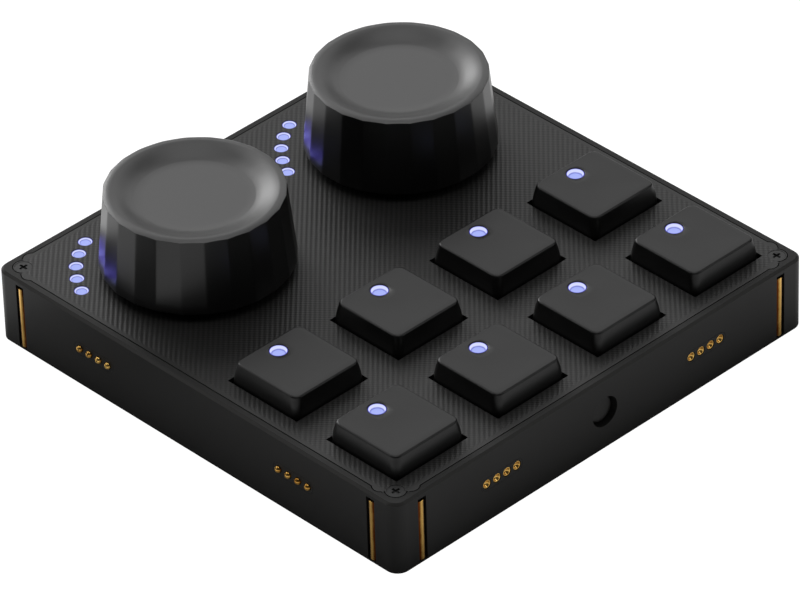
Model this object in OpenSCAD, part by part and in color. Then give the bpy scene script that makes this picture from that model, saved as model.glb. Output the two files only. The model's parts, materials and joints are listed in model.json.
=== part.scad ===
// Desk keypad: eight lit keys and two push-and-turn knobs on a flat square case that
// docks to its neighbours through magnets and sprung contacts on its four sides.
// Millimetres. Z is up, the user sits at -Y, and the origin is on the desk under the
// middle of the case.

/* [Case] */
// Length of each side of the square case
case_w = 106; // [100:1:120]
// Height of the case without its feet
case_h = 15.5; // [14.6:0.1:18]
// Radius of the case's upright corners
corner_r = 2.6; // [1.5:0.1:4]
// Bevel along the top outer edge of the case
edge_bevel = 0.5; // [0.2:0.05:0.9]
// Thickness of the side walls
wall_t = 3.5; // [3.2:0.1:4.5]
// Thickness of the floor
floor_t = 1.5; // [1.2:0.1:2.2]
// Width of the rim left round the top plate
rim_w = 1.6; // [1.3:0.1:2]

/* [Top plate] */
// Thickness of the top plate
plate_t = 1.5; // [1.3:0.1:2]
// Gap between the plate's edge and the rim
plate_gap = 0.2; // [0.1:0.05:0.4]
// Distance from the case's outer faces to the corner screws
screw_inset = 3.7; // [3.5:0.1:4.2]
// How far the tabs over the magnets reach past the plate's edge
tab_out = 0.55; // [0.3:0.05:0.6]

/* [Magnets] */
// Diameter of a rod magnet
rod_d = 2.4; // [2:0.1:2.5]
// Distance of each rod from the nearest corner of the case
rod_inset = 6.55; // [6.4:0.05:9]
// Thickness of the case under each rod
rod_floor = 0.4; // [0.3:0.1:1]
// Width of the slot that shows each rod
slot_w = 2; // [1.4:0.1:2.1]

/* [Keys] */
// Distance of the outer keys' middles from the side faces
key_inset = 14.6; // [14.2:0.1:16]
// Distance of the front keys' middles from the front face
front_row_inset = 14.5; // [14:0.1:15]
// Side of a square key opening in the plate
key_open = 18; // [17.8:0.1:19]
// Side of a keycap at the foot of its skirt
cap_base_w = 17.5; // [17:0.1:17.6]
// Side of a keycap's top face
cap_top_w = 16.3; // [15.6:0.1:16.8]
// Height of a keycap
cap_h = 4.9; // [4.6:0.1:5.4]
// Height of a keycap's top face over the plate
cap_rise = 4.1; // [3.9:0.1:4.6]
// Thickness of a keycap's top
cap_roof = 1.3; // [1.1:0.1:1.5]
// Thickness of a keycap's skirt
cap_wall = 1.1; // [0.9:0.1:1.3]
// How far a key goes down
key_travel = 2.8; // [2:0.1:2.8]
// Diameter of the round light window in a keycap
window_d = 3.4; // [2.6:0.1:3.6]
// Distance from the rear edge of a keycap's top to the middle of its light window
window_inset = 3.2; // [3.1:0.05:4]

/* [Switches] */
// Side of the square switch housing
switch_w = 13.9; // [13:0.1:14]
// Height of the switch housing on the board
switch_h = 6.1; // [6:0.1:6.3]
// Thickness of the housing's floor and roof
switch_wall = 1.1; // [0.9:0.1:1.2]
// Side of the square plunger
plunger_w = 6.2; // [6:0.1:6.6]
// Mean radius of a key's return spring
spring_r = 1.85; // [1.7:0.05:1.9]
// Thickness of the spring wire
wire_d = 0.32; // [0.2:0.02:0.36]
// Number of turns in a return spring
spring_turns = 5; // [4:1:6]

/* [Knobs] */
// Distance of each knob's axis from its side face
knob_inset_x = 26.7; // [26:0.1:28]
// Distance of the knobs' axes from the rear face
knob_inset_y = 26.6; // [26:0.1:28]
// Radius across the corners at the foot of a knob
knob_base_r = 18.6; // [16:0.1:19]
// Radius across the corners at the top of a knob
knob_top_r = 17.05; // [15.5:0.05:17.5]
// Number of flats round a knob
knob_flats = 24; // [16:1:32]
// Gap between the plate and the foot of a knob
knob_gap = 1.7; // [1.2:0.1:2]
// Height of a knob from its foot to its lip
knob_h = 15.4; // [13:0.1:17]
// Radius of the flat middle of a knob's dished top
dish_flat_r = 11.2; // [9:0.1:12]
// Depth of the dish under the lip
dish_depth = 1.6; // [0.8:0.1:2]
// Diameter of the encoder shaft
shaft_d = 6; // [5:0.1:6.4]
// How far a knob can be pushed
push_travel = 0.5; // [0.3:0.1:0.8]

/* [Lights] */
// Distance from a knob's axis to its arc of lights
arc_r = 22.7; // [21.5:0.1:23]
// Number of lights in an arc
arc_count = 5; // [3:1:5]
// Angle between neighbouring lights
arc_step = 10; // [8:0.5:10]
// Diameter of one light
light_d = 2.8; // [2:0.1:3]

/* [Side contacts] */
// Distance between neighbouring contacts
pin_pitch = 2.54; // [2.3:0.02:2.6]
// Number of contacts in a group
pin_count = 4; // [2:1:4]
// Distance of each group from the nearest corner of the case
group_inset = 26.55; // [26:0.05:29]
// Height of the contacts over the case's underside
contact_z = 8.3; // [8.2:0.1:8.6]
// Diameter of a sprung pin
pin_d = 1.5; // [1.2:0.1:1.6]
// How far a sprung pin stands out of the case
pin_out = 0.7; // [0.5:0.1:1]
// Diameter of a fixed contact cup
cup_d = 1.9; // [1.6:0.1:2]

/* [Front button] */
// Diameter of the button in the front face
button_d = 5.5; // [4:0.1:5.8]
// Gap round the button
button_gap = 0.4; // [0.2:0.05:0.5]
// How far the button's face lies inside the case's face
button_recess = 1; // [0.5:0.1:1.2]
// How far the button goes in
button_travel = 0.6; // [0.3:0.1:0.8]

/* [Board and feet] */
// Thickness of the circuit board
board_t = 1.6; // [1.2:0.1:1.7]
// Height of the board's underside over the case's underside
board_z = 5.3; // [5:0.1:5.4]
// Gap between the board and the side walls
board_gap = 0.4; // [0.3:0.1:1]
// Diameter of a rubber foot
foot_d = 10; // [8:0.5:12]
// How far a foot stands out of the case's underside
foot_h = 0.8; // [0.5:0.1:1.5]
// Depth of the recess that holds a foot
foot_recess = 0.4; // [0.2:0.1:0.5]
// Distance of each foot's middle from the case's faces
foot_inset = 11; // [10:1:17]
// Width of the socket's mouth in the rear face
socket_w = 8.94; // [8.8:0.02:9]

/* [Hidden] */

$fn = 64;
eps = 0.01;
half = case_w / 2;
inner = half - wall_t;
rim_top = foot_h + case_h;
plate_bottom = rim_top - plate_t;
plate_half = half - rim_w - plate_gap;
screw_xy = half - screw_inset;
board_bottom = foot_h + board_z;
board_top = board_bottom + board_t;
contact_height = foot_h + contact_z;

// places tied to the case's faces
rod_offset = half - rod_inset;
key_pitch = (half - key_inset) / 1.5;
front_row_y = front_row_inset - half;
knob_x = half - knob_inset_x;
knob_y = half - knob_inset_y;
group_offset = half - group_inset;
foot_offset = half - foot_inset;

// small clearances and details
slip = 0.05;
loose = 0.15;
rod_clear = 0.1;
rod_depth = 0.03;
rod_top_gap = 0.4;
slot_rise = 0.3;
lobe_r = 1.9;
tab_r = 1.6;
screw_head_r = 1.6;
screw_head_h = 1;
screw_r = 0.97;
screw_len = 4.4;
post_w = 3.4;
recess_w = 1.8;
recess_t = 0.5;
recess_depth = 0.45;
standoff_r = 2.6;
between_rows_y = front_row_y + key_pitch / 2;
side_post_inset = 3.5;
side_post_x = inner - side_post_inset;
side_post_y = (front_row_y + key_pitch + knob_y) / 2;
board_posts = [[-key_pitch, between_rows_y], [key_pitch, between_rows_y],
    [-side_post_x, side_post_y], [side_post_x, side_post_y]];
rib_t = 1.2;
rib_h = 0.8;
rib_pitch = inner / 3;
foot_bevel = 0.4;
controller_size = [9, 9, 1];
memory_size = [5, 4, 0.9];
memory_at = [12, 0];
regulator_size = [3.2, 2.5, 0.8];
regulator_at = [-11, 4];

// keys, numbered from the rear row's left end
key_xy = [for (row = [1, 0], col = [-1.5:1:1.5]) [col * key_pitch, front_row_y + row * key_pitch]];
cap_top_z = rim_top + cap_rise;
cap_foot_z = cap_top_z - cap_h;
cap_ceiling_z = cap_top_z - cap_roof;
window_y = cap_top_w / 2 - window_inset;
cap_corner_r = 1.5;
cap_bevel = 0.35;
boss_r = 2.9;
boss_h = cap_ceiling_z - board_top - switch_h - key_travel - 0.2;
cross_w = 4;
cross_t = 1.2;
flange_w = 8.6;
flange_t = 0.9;
seat_r = 1.2;
stop_gap = 0.1;
shoulder_h = switch_h + key_travel - 0.7;
bore_roof = 1.2;
spring_gap = 0.02;
window_recess = 0.1;
window_cup = 0.75;
lens_wall = 0.35;
lens_lip = 0.15;
window_flange_r = window_d / 2 + 0.3;
window_flange_t = 0.5;
led_w = 2;
led_d = 1.2;
led_h = 0.8;

// knobs and encoders
knob_foot_z = rim_top + knob_gap;
lip_r = 2.8;
lip_w = 1.3;
lip_x = knob_top_r - lip_w;
slope_ease = 0.35;
flats_clear_h = 3.5;
hub_r = 5.2;
knob_wall = 2.4;
knob_roof = 3;
knob_rib_t = 1.4;
bush_r = 4;
bush_gap = 0.3;
encoder_w = 12;
encoder_h = plate_bottom - board_top - 0.4;
encoder_floor = 1.2;
bush_top_z = rim_top + 0.5;
pusher_r = 2.6;
pusher_h = 1.2;
pusher_z = board_top + encoder_floor + push_travel;
shaft_flat = 0.5;
shaft_slip = 0.02;
hollow_h = knob_h - dish_depth - knob_roof;
arc_mid = 135;
guide_t = 1.2;
guide_w = 2.2;
leg_d = 2;
lens_recess = 0.1;
lens_cup = 0.3;

// side contacts and front button
block_h = 2.7;
block_w = (pin_count - 1) * pin_pitch + block_h;
block_depth = 6.5;
block_gap = 0.05;
block_step = 0.3;
pin_len = 6;
cup_len = 4;
cup_recess = 0.1;
dimple_depth = 0.8;
button_z = contact_height - 0.2;
button_flange_r = button_d / 2 + 1.2;
button_flange_t = 0.8;
button_len = wall_t - button_recess + button_travel + button_flange_t;
button_dish_r = 18.5;
button_dish = 0.3;
stem_r = 1;
stem_len = button_len + 1.2;
switch_gap = 0.05;
switch_size = [6, 3.5, 3.2];
notch_half = button_flange_r + 0.45;
notch_depth = button_recess + button_len + button_travel + 0.5;
socket_h = 3.26;
socket_len = 7.3;
socket_t = 0.3;
socket_recess = 0.3;
socket_gap = 0.25;
tongue = [6.6, 0.7];

// a square with round corners, drawn so that its arcs stay true arcs
module round_square(w, d, r) {
    square([w - 2 * r, d], center = true);
    square([w, d - 2 * r], center = true);
    for (x = [-1, 1], y = [-1, 1])
        translate([x * (w / 2 - r), y * (d / 2 - r)]) circle(r);
}

module at_corners(offset) {
    for (x = [-1, 1], y = [-1, 1]) translate([x * offset, y * offset, 0]) children();
}

// turns its children to the four faces: 0 front, 1 right, 2 rear, 3 left
module on_face(face) {
    rotate([0, 0, 90 * face]) translate([0, -half, 0]) children();
}

// ---------------------------------------------------------------- case
// the plate's outline: straight sides, a tab over each magnet and a lobe round each screw
module plate_outline(grow) {
    side = 2 * (plate_half + grow);
    notch = rod_offset + tab_r - 0.1;
    square([2 * notch, side], center = true);
    square([side, 2 * notch], center = true);
    round_square(side - 1, side - 1, 1);
    at_corners(screw_xy) circle(lobe_r + grow);
    for (face = [0:3], s = [-1, 1])
        rotate(90 * face)
            translate([s * rod_offset, -plate_half - tab_out + tab_r]) circle(tab_r + grow);
}

// triangular cutter along one top edge, and its turn round a corner
module bevel_profile() {
    polygon([[-edge_bevel, eps], [eps, eps], [eps, -edge_bevel]]);
}

module edge_bevels() {
    straight = case_w - 2 * corner_r;
    translate([0, 0, rim_top]) {
        for (face = [0:3])
            rotate([0, 0, 90 * face]) translate([half, straight / 2, 0])
                rotate([90, 0, 0]) linear_extrude(straight) bevel_profile();
        for (turn = [0:3])
            rotate([0, 0, 90 * turn]) translate([half - corner_r, half - corner_r, 0])
                rotate_extrude(angle = 90) translate([corner_r, 0]) bevel_profile();
    }
}

// one magnet's hole, open to the ledge above and through a slot to the outer face
module rod_hole() {
    depth = rod_d / 2 + rod_depth;
    z0 = foot_h + rod_floor;
    h = plate_bottom - z0;
    translate([0, depth, z0]) cylinder(r = rod_d / 2 + rod_clear, h = h);
    translate([-slot_w / 2, -1, z0]) cube([slot_w, 1 + depth, h + slot_rise]);
}

module slot_shape(h, depth) {
    rotate([-90, 0, 0]) linear_extrude(depth) {
        square([block_w - block_h, h], center = true);
        for (s = [-1, 1]) translate([s * (block_w - block_h) / 2, 0]) circle(h / 2);
    }
}

module case_body() color([0.13, 0.13, 0.14]) {
    difference() {
        union() {
            difference() {
                translate([0, 0, foot_h])
                    linear_extrude(case_h) round_square(case_w, case_w, corner_r);
                translate([0, 0, foot_h + floor_t])
                    linear_extrude(case_h) square(2 * inner, center = true);
            }
            // corner posts that take the plate's screws
            at_corners(screw_xy) translate([0, 0, foot_h])
                linear_extrude(case_h - plate_t) square(post_w, center = true);
            // standoffs under the board
            for (p = board_posts)
                translate([p[0], p[1], foot_h + floor_t / 2])
                    cylinder(r = standoff_r, h = board_z - floor_t / 2);
            // ribs that stiffen the floor
            for (turn = [0, 90], i = [-2:2])
                rotate([0, 0, turn])
                    translate([i * rib_pitch - rib_t / 2, -inner - eps, foot_h + floor_t / 2])
                        cube([rib_t, 2 * inner + 2 * eps, floor_t / 2 + rib_h]);
        }
        // seat of the top plate
        translate([0, 0, plate_bottom]) linear_extrude(plate_t + 1) plate_outline(plate_gap);
        edge_bevels();
        at_corners(screw_xy) translate([0, 0, plate_bottom - screw_len])
            cylinder(r = screw_r + slip, h = case_h);
        for (p = board_posts)
            translate([p[0], p[1], board_top - screw_len]) cylinder(r = screw_r + slip, h = screw_len);
        for (face = [0:3]) {
            on_face(face) for (s = [-1, 1]) {
                translate([s * rod_offset, 0, 0]) rod_hole();
                translate([s * group_offset, -1, contact_height])
                    slot_shape(block_h + 2 * block_gap, wall_t + 2);
            }
        }
        // button hole in front, socket mouth behind
        on_face(0) translate([0, -1, button_z]) rotate([-90, 0, 0])
            cylinder(r = button_d / 2 + button_gap, h = wall_t + 2);
        on_face(2) translate([0, -1, board_top + socket_h / 2]) rotate([-90, 0, 0])
            linear_extrude(wall_t + 2)
                round_square(socket_w + 2 * socket_gap, socket_h + 2 * socket_gap, 1.5);
        at_corners(foot_offset) translate([0, 0, foot_h - 1])
            cylinder(d = foot_d + 2 * slip, h = 1 + foot_recess);
    }
}

module top_plate() color([0.16, 0.16, 0.17]) {
    translate([0, 0, plate_bottom]) difference() {
        linear_extrude(plate_t) plate_outline(0);
        for (p = key_xy)
            translate([p[0], p[1], -1]) linear_extrude(plate_t + 2) square(key_open, center = true);
        for (s = [-1, 1]) translate([s * knob_x, knob_y, 0]) {
            translate([0, 0, -1]) cylinder(r = bush_r + bush_gap, h = plate_t + 2);
            at_lights() translate([0, 0, -1]) cylinder(d = light_d + 2 * slip, h = plate_t + 2);
        }
        at_corners(screw_xy) {
            translate([0, 0, -1]) cylinder(r = screw_r + loose, h = plate_t + 2);
            translate([0, 0, plate_t - screw_head_h - slip]) cylinder(r = screw_head_r + slip, h = screw_head_h + 1);
        }
    }
}

// pan screw with a cross recess, its head's underside at z = 0
module cross_screw() {
    difference() {
        union() {
            cylinder(r = screw_head_r, h = screw_head_h);
            translate([0, 0, 0.3 - screw_len]) cylinder(r = screw_r, h = screw_len);
        }
        for (a = [0, 90]) rotate([0, 0, a])
            translate([-recess_w / 2, -recess_t / 2, screw_head_h - recess_depth])
                cube([recess_w, recess_t, 1]);
    }
}

module screws() color([0.1, 0.1, 0.1]) {
    at_corners(screw_xy) translate([0, 0, rim_top - screw_head_h - slip]) cross_screw();
    for (p = board_posts) translate([p[0], p[1], board_top]) cross_screw();
}

module rubber_feet() color([0.07, 0.07, 0.07]) {
    at_corners(foot_offset) {
        cylinder(d1 = foot_d - 2 * foot_bevel, d2 = foot_d, h = foot_bevel);
        translate([0, 0, foot_bevel]) cylinder(d = foot_d, h = foot_h + foot_recess - foot_bevel);
    }
}

// ---------------------------------------------------------------- electronics
module circuit_board() color([0.05, 0.22, 0.14]) {
    side = 2 * (inner - board_gap);
    translate([0, 0, board_bottom]) difference() {
        linear_extrude(board_t) square(side, center = true);
        at_corners(screw_xy) translate([0, 0, -1])
            linear_extrude(board_t + 2) square(post_w + 2 * board_gap, center = true);
        for (p = board_posts) translate([p[0], p[1], -1]) cylinder(r = screw_r + loose, h = board_t + 2);
        // room for the front button and its flange
        on_face(0) translate([-notch_half, 0, -1]) cube([2 * notch_half, notch_depth, board_t + 2]);
    }
}

module chip(size) {
    translate([-size[0] / 2, -size[1] / 2, 0]) cube(size);
}

module chip_below(at, size) {
    translate([at[0], at[1], board_bottom - size[2]]) chip(size);
}

// controller, memory and regulator under the board, a light source under each light above
module board_chips() color([0.08, 0.08, 0.09]) {
    chip_below([0, 0], controller_size);
    chip_below(memory_at, memory_size);
    chip_below(regulator_at, regulator_size);
    for (s = [-1, 1]) translate([s * knob_x, knob_y, board_top]) at_lights()
        chip([led_w, led_w, led_h]);
    for (p = key_xy) translate([p[0], p[1] + window_y, board_top]) chip([led_w, led_d, led_h]);
}

module usb_socket() color([0.75, 0.75, 0.76]) {
    translate([0, half - socket_recess, board_top + socket_h / 2]) rotate([90, 0, 0]) {
        difference() {
            linear_extrude(socket_len) round_square(socket_w, socket_h, 1.4);
            translate([0, 0, -1]) linear_extrude(socket_len)
                round_square(socket_w - 2 * socket_t, socket_h - 2 * socket_t, 1.1);
        }
        translate([-tongue[0] / 2, -tongue[1] / 2, 0.8]) cube([tongue[0], tongue[1], socket_len - 1.3]);
    }
}

// places its children on light number i of an arc round the origin
module light_at(i) {
    a = arc_mid + (i - (arc_count - 1) / 2) * arc_step;
    translate([arc_r * cos(a), arc_r * sin(a), 0]) children();
}

module at_lights() {
    for (i = [0:arc_count - 1]) light_at(i) children();
}

// lens of the given diameter from z = 0 up to h, with a shallow cup in its top
module cupped_lens(d, h, cup) {
    difference() {
        cylinder(d = d, h = h);
        translate([0, 0, h - cup]) cylinder(d1 = d - 2 * lens_wall, d2 = d - 2 * lens_lip, h = cup + eps);
    }
}

// arc bar under the plate with a lens on top and a leg below at each light
module light_guide(side) {
    reach = (arc_count - 1) / 2 * arc_step;
    leg_foot = board_top + led_h + loose;
    translate([side * knob_x, knob_y, 0]) {
        translate([0, 0, plate_bottom - guide_t]) rotate([0, 0, arc_mid - reach])
            rotate_extrude(angle = 2 * reach)
                translate([arc_r - guide_w / 2, 0]) square([guide_w, guide_t]);
        at_lights() {
            translate([0, 0, plate_bottom - guide_t])
                cupped_lens(light_d, plate_t + guide_t - lens_recess, lens_cup);
            translate([0, 0, leg_foot]) cylinder(d = leg_d, h = plate_bottom - leg_foot - eps);
        }
    }
}

module light_guide_left() color([0.85, 0.88, 1]) light_guide(-1);
module light_guide_right() color([0.85, 0.88, 1]) light_guide(1);

// sealed push switch behind the front button
module button_switch() color([0.2, 0.2, 0.2]) {
    front = button_recess + stem_len + button_travel + switch_gap;
    on_face(0) translate([-switch_size[0] / 2, front, board_top]) cube(switch_size);
}

module front_button() color([0.14, 0.14, 0.15]) {
    flange_z = wall_t - button_recess + stop_gap;
    on_face(0) translate([0, button_recess, button_z]) rotate([-90, 0, 0]) {
        difference() {
            cylinder(d = button_d, h = button_len);
            // slight dish for the fingertip
            translate([0, 0, button_dish - button_dish_r]) sphere(r = button_dish_r);
        }
        translate([0, 0, flange_z]) cylinder(r = button_flange_r, h = button_flange_t);
        translate([0, 0, flange_z]) cylinder(r = stem_r, h = stem_len - flange_z);
    }
}

// ---------------------------------------------------------------- side contacts
// block that fills its slot in the wall, with a row of bores
module contact_block(bore_r) {
    difference() {
        union() {
            slot_shape(block_h, wall_t + 1);
            translate([-block_w / 2 - 0.5, wall_t + block_step, board_top - contact_height])
                cube([block_w + 1, block_depth - wall_t - block_step,
                    contact_height - board_top + block_h / 2]);
        }
        at_contacts() translate([0, -1, 0]) rotate([-90, 0, 0]) cylinder(r = bore_r, h = block_depth);
    }
}

module at_contacts() {
    for (i = [0:pin_count - 1]) translate([(i - (pin_count - 1) / 2) * pin_pitch, 0, 0]) children();
}

module at_group(face, s) {
    on_face(face) translate([s * group_offset, 0, contact_height]) children();
}

module pin_blocks() color([0.12, 0.12, 0.12]) {
    for (face = [2, 3], s = [-1, 1]) at_group(face, s) contact_block(pin_d / 2 + slip);
}

module contact_blocks() color([0.12, 0.12, 0.12]) {
    for (face = [0, 1], s = [-1, 1]) at_group(face, s) contact_block(cup_d / 2 + slip);
}

module contact_cups() color([0.86, 0.66, 0.28]) {
    for (face = [0, 1], s = [-1, 1]) at_group(face, s) at_contacts()
        rotate([-90, 0, 0]) difference() {
            translate([0, 0, cup_recess]) cylinder(d = cup_d, h = cup_len);
            translate([0, 0, cup_recess]) cylinder(d1 = cup_d - 0.4, d2 = 0.5, h = dimple_depth);
        }
}

// a row of round-nosed pins
module pin_row() {
    at_contacts() rotate([-90, 0, 0]) {
        translate([0, 0, pin_d / 2 - pin_out]) cylinder(d = pin_d, h = pin_len - pin_d / 2 - 1.2);
        translate([0, 0, pin_d / 2 - pin_out]) sphere(d = pin_d);
    }
}

module side_pins_front() color([0.86, 0.66, 0.28]) at_group(3, 1) pin_row();
module side_pins_rear() color([0.86, 0.66, 0.28]) at_group(3, -1) pin_row();
module rear_pins_left() color([0.86, 0.66, 0.28]) at_group(2, 1) pin_row();
module rear_pins_right() color([0.86, 0.66, 0.28]) at_group(2, -1) pin_row();

module magnet_rods() color([0.85, 0.68, 0.32]) {
    for (face = [0:3], s = [-1, 1])
        on_face(face) translate([s * rod_offset, rod_d / 2 + rod_depth, foot_h + rod_floor])
            cylinder(d = rod_d, h = case_h - plate_t - rod_floor - rod_top_gap);
}

// ---------------------------------------------------------------- keys
// box with a square mouth that guides the plunger, and a slot that lets the light up
module switch_housing() {
    mouth = plunger_w + 2 * stop_gap;
    difference() {
        union() {
            linear_extrude(switch_h - 2) round_square(switch_w, switch_w, 0.8);
            linear_extrude(switch_h) round_square(switch_w - 1, switch_w - 1, 0.8);
        }
        translate([0, 0, switch_wall]) linear_extrude(switch_h - 2 * switch_wall)
            square(flange_w + 1, center = true);
        translate([0, 0, switch_h / 2]) linear_extrude(switch_h) square(mouth, center = true);
        translate([0, window_y, -1]) linear_extrude(switch_h + 2)
            square([led_w + 2 * loose, led_d + 2 * loose], center = true);
    }
    translate([0, 0, switch_wall / 2]) cylinder(r = seat_r, h = switch_wall / 2 + 1);
}

module switch_housings() color([0.1, 0.1, 0.1]) {
    for (p = key_xy) translate([p[0], p[1], board_top]) switch_housing();
}

module cross(w, t, h) {
    translate([-w / 2, -t / 2, 0]) cube([w, t, h]);
    translate([-t / 2, -w / 2, 0]) cube([t, w, h]);
}

// plunger with its stop flange, a cross on top and a bore for the spring
module key_plunger(n) color([0.45, 0.3, 0.2]) {
    flange_z = switch_h - switch_wall - stop_gap - flange_t;
    cross_top = cap_ceiling_z - board_top - stop_gap;
    translate([key_xy[n - 1][0], key_xy[n - 1][1], board_top]) difference() {
        union() {
            translate([0, 0, flange_z]) linear_extrude(flange_t) square(flange_w, center = true);
            translate([0, 0, flange_z]) linear_extrude(shoulder_h - flange_z)
                round_square(plunger_w, plunger_w, 0.4);
            translate([0, 0, shoulder_h - eps]) cross(cross_w, cross_t, cross_top - shoulder_h);
        }
        translate([0, 0, -1]) cylinder(r = spring_r + wire_d / 2 + 0.25, h = 1 + shoulder_h - bore_roof);
    }
}

// helical spring, swept as a square wire
module key_spring(n) color([0.75, 0.75, 0.75]) {
    steps = 12;
    rings = spring_turns * steps;
    w = wire_d / 2;
    z0 = switch_wall + spring_gap + w;
    rise = shoulder_h - bore_roof - spring_gap - w - z0;
    points = [for (i = [0:rings], q = [[-w, -w], [w, -w], [w, w], [-w, w]])
        let (a = i * 360 / steps, r = spring_r + q[0])
        [r * cos(a), r * sin(a), z0 + rise * i / rings + q[1]]];
    sides = [for (i = [0:rings - 1], k = [0:3])
        let (a = i * 4, next = (k + 1) % 4) [a + k, a + next, a + 4 + next, a + 4 + k]];
    translate([key_xy[n - 1][0], key_xy[n - 1][1], board_top])
        polyhedron(points, concat([[3, 2, 1, 0]], sides, [[for (k = [0:3]) rings * 4 + k]]),
            convexity = 8);
}

// slab of a keycap with rounded corners, used in hulls
module cap_slab(w, r, z) {
    translate([0, 0, z]) for (x = [-1, 1], y = [-1, 1])
        translate([x * (w / 2 - r), y * (w / 2 - r), 0]) cylinder(r = r, h = eps, $fn = 32);
}

module keycap(n) color([0.15, 0.15, 0.16]) {
    waist_w = (cap_base_w * 0.55 + cap_top_w * 0.45) + 0.35;
    translate([key_xy[n - 1][0], key_xy[n - 1][1], cap_foot_z]) difference() {
        union() {
            difference() {
                hull() {
                    cap_slab(cap_base_w, cap_corner_r, 0);
                    cap_slab(waist_w, cap_corner_r + 0.1, cap_h * 0.55);
                    cap_slab(cap_top_w + 0.1, cap_corner_r, cap_h - cap_bevel);
                    cap_slab(cap_top_w - 2 * cap_bevel, cap_corner_r - cap_bevel / 2, cap_h - eps);
                }
                hull() {
                    cap_slab(cap_base_w - 2 * cap_wall, 0.8, -eps);
                    cap_slab(cap_top_w - 2 * cap_wall + 0.2, 0.8, cap_h - cap_roof - eps);
                }
            }
            // boss that takes the plunger's cross
            translate([0, 0, cap_h - cap_roof - boss_h]) cylinder(r = boss_r, h = boss_h + cap_roof / 2);
        }
        translate([0, 0, cap_h - cap_roof - boss_h - eps])
            cross(cross_w + 2 * slip, cross_t + 2 * slip, boss_h + eps);
        translate([0, window_y, 0]) cylinder(d = window_d + 2 * slip, h = cap_h + 1);
    }
}

// flanged light window, pressed in from below
module key_window(n) color([0.8, 0.84, 1]) {
    translate([key_xy[n - 1][0], key_xy[n - 1][1] + window_y, 0]) {
        translate([0, 0, cap_ceiling_z - window_flange_t])
            cupped_lens(window_d, cap_roof + window_flange_t - window_recess, window_cup);
        translate([0, 0, cap_ceiling_z - window_flange_t - slip])
            cylinder(r = window_flange_r, h = window_flange_t);
    }
}

module keycap_1() keycap(1);
module keycap_2() keycap(2);
module keycap_3() keycap(3);
module keycap_4() keycap(4);
module keycap_5() keycap(5);
module keycap_6() keycap(6);
module keycap_7() keycap(7);
module keycap_8() keycap(8);
module key_window_1() key_window(1);
module key_window_2() key_window(2);
module key_window_3() key_window(3);
module key_window_4() key_window(4);
module key_window_5() key_window(5);
module key_window_6() key_window(6);
module key_window_7() key_window(7);
module key_window_8() key_window(8);
module key_plunger_1() key_plunger(1);
module key_plunger_2() key_plunger(2);
module key_plunger_3() key_plunger(3);
module key_plunger_4() key_plunger(4);
module key_plunger_5() key_plunger(5);
module key_plunger_6() key_plunger(6);
module key_plunger_7() key_plunger(7);
module key_plunger_8() key_plunger(8);
module key_spring_1() key_spring(1);
module key_spring_2() key_spring(2);
module key_spring_3() key_spring(3);
module key_spring_4() key_spring(4);
module key_spring_5() key_spring(5);
module key_spring_6() key_spring(6);
module key_spring_7() key_spring(7);
module key_spring_8() key_spring(8);

// ---------------------------------------------------------------- knobs
// many-sided taper, a flat facing each axis direction
module flats_taper(n, r0, r1, z0, z1) {
    half_turn = 180 / n;
    ring = function (r, z) [for (i = [0:n - 1])
        let (a = 360 * i / n + half_turn) [r * cos(a), r * sin(a), z]];
    sides = [for (i = [0:n - 1]) [i, (i + 1) % n, n + (i + 1) % n, n + i]];
    polyhedron(concat(ring(r0, z0), ring(r1, z1)),
        concat([[for (i = [n - 1:-1:0]) i]], sides, [[for (i = [0:n - 1]) n + i]]), convexity = 2);
}

// section of the shallow round lip and the dished top, from the axis outwards; the
// slope between them is eased at both ends
function lip_section() =
    let (outer_a = 60, blend = 8, arc = 5,
        cz = knob_h - lip_r,
        z0 = knob_h - dish_depth)
    concat([[0, z0]],
        [for (i = [0:blend - 1]) let (t = i / blend)
            [dish_flat_r + (lip_x - dish_flat_r) * t,
                z0 + dish_depth * (t - slope_ease * sin(360 * t) / (2 * PI))]],
        [for (i = [0:arc]) let (a = 90 + (outer_a - 90) * i / arc)
            [lip_x + lip_r * cos(a), cz + lip_r * sin(a)]]);

module knob(side) color([0.12, 0.12, 0.13]) {
    translate([side * knob_x, knob_y, knob_foot_z]) difference() {
        intersection() {
            flats_taper(knob_flats, knob_base_r, knob_top_r, 0, knob_h);
            rotate_extrude() polygon(concat(lip_section(),
                [[knob_base_r + 1, knob_h - flats_clear_h], [knob_base_r + 1, 0], [0, 0]]));
        }
        // hollow between the hub and the skirt, crossed by ribs
        difference() {
            translate([0, 0, -1])
                cylinder(r = knob_top_r * cos(180 / knob_flats) - knob_wall, h = 1 + hollow_h);
            translate([0, 0, -2]) cylinder(r = hub_r, h = knob_h);
            for (a = [30:60:330]) rotate([0, 0, a])
                translate([0, -knob_rib_t / 2, 1.5]) cube([knob_base_r, knob_rib_t, knob_h]);
        }
        difference() {
            translate([0, 0, -1]) cylinder(r = shaft_d / 2 + shaft_slip, h = 1 + hollow_h + 0.5);
            translate([-shaft_d, shaft_d / 2 - shaft_flat + shaft_slip, 1])
                cube([2 * shaft_d, shaft_d, knob_h]);
        }
    }
}

module knob_left() knob(-1);
module knob_right() knob(1);

// shaft that stands on the pusher, its upper half cut flat on one side
module encoder_shaft(side) color([0.8, 0.8, 0.8]) {
    foot = pusher_z + pusher_h;
    top = knob_foot_z + hollow_h + 0.3;
    translate([side * knob_x, knob_y, 0]) difference() {
        translate([0, 0, foot]) cylinder(d = shaft_d, h = top - foot);
        translate([-shaft_d, shaft_d / 2 - shaft_flat, knob_foot_z + 0.8])
            cube([2 * shaft_d, shaft_d, knob_h]);
    }
}

module encoder_shaft_left() encoder_shaft(-1);
module encoder_shaft_right() encoder_shaft(1);

module encoder_pusher(side) color([0.85, 0.85, 0.8]) {
    translate([side * knob_x, knob_y, pusher_z]) cylinder(r = pusher_r, h = pusher_h);
}

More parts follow.
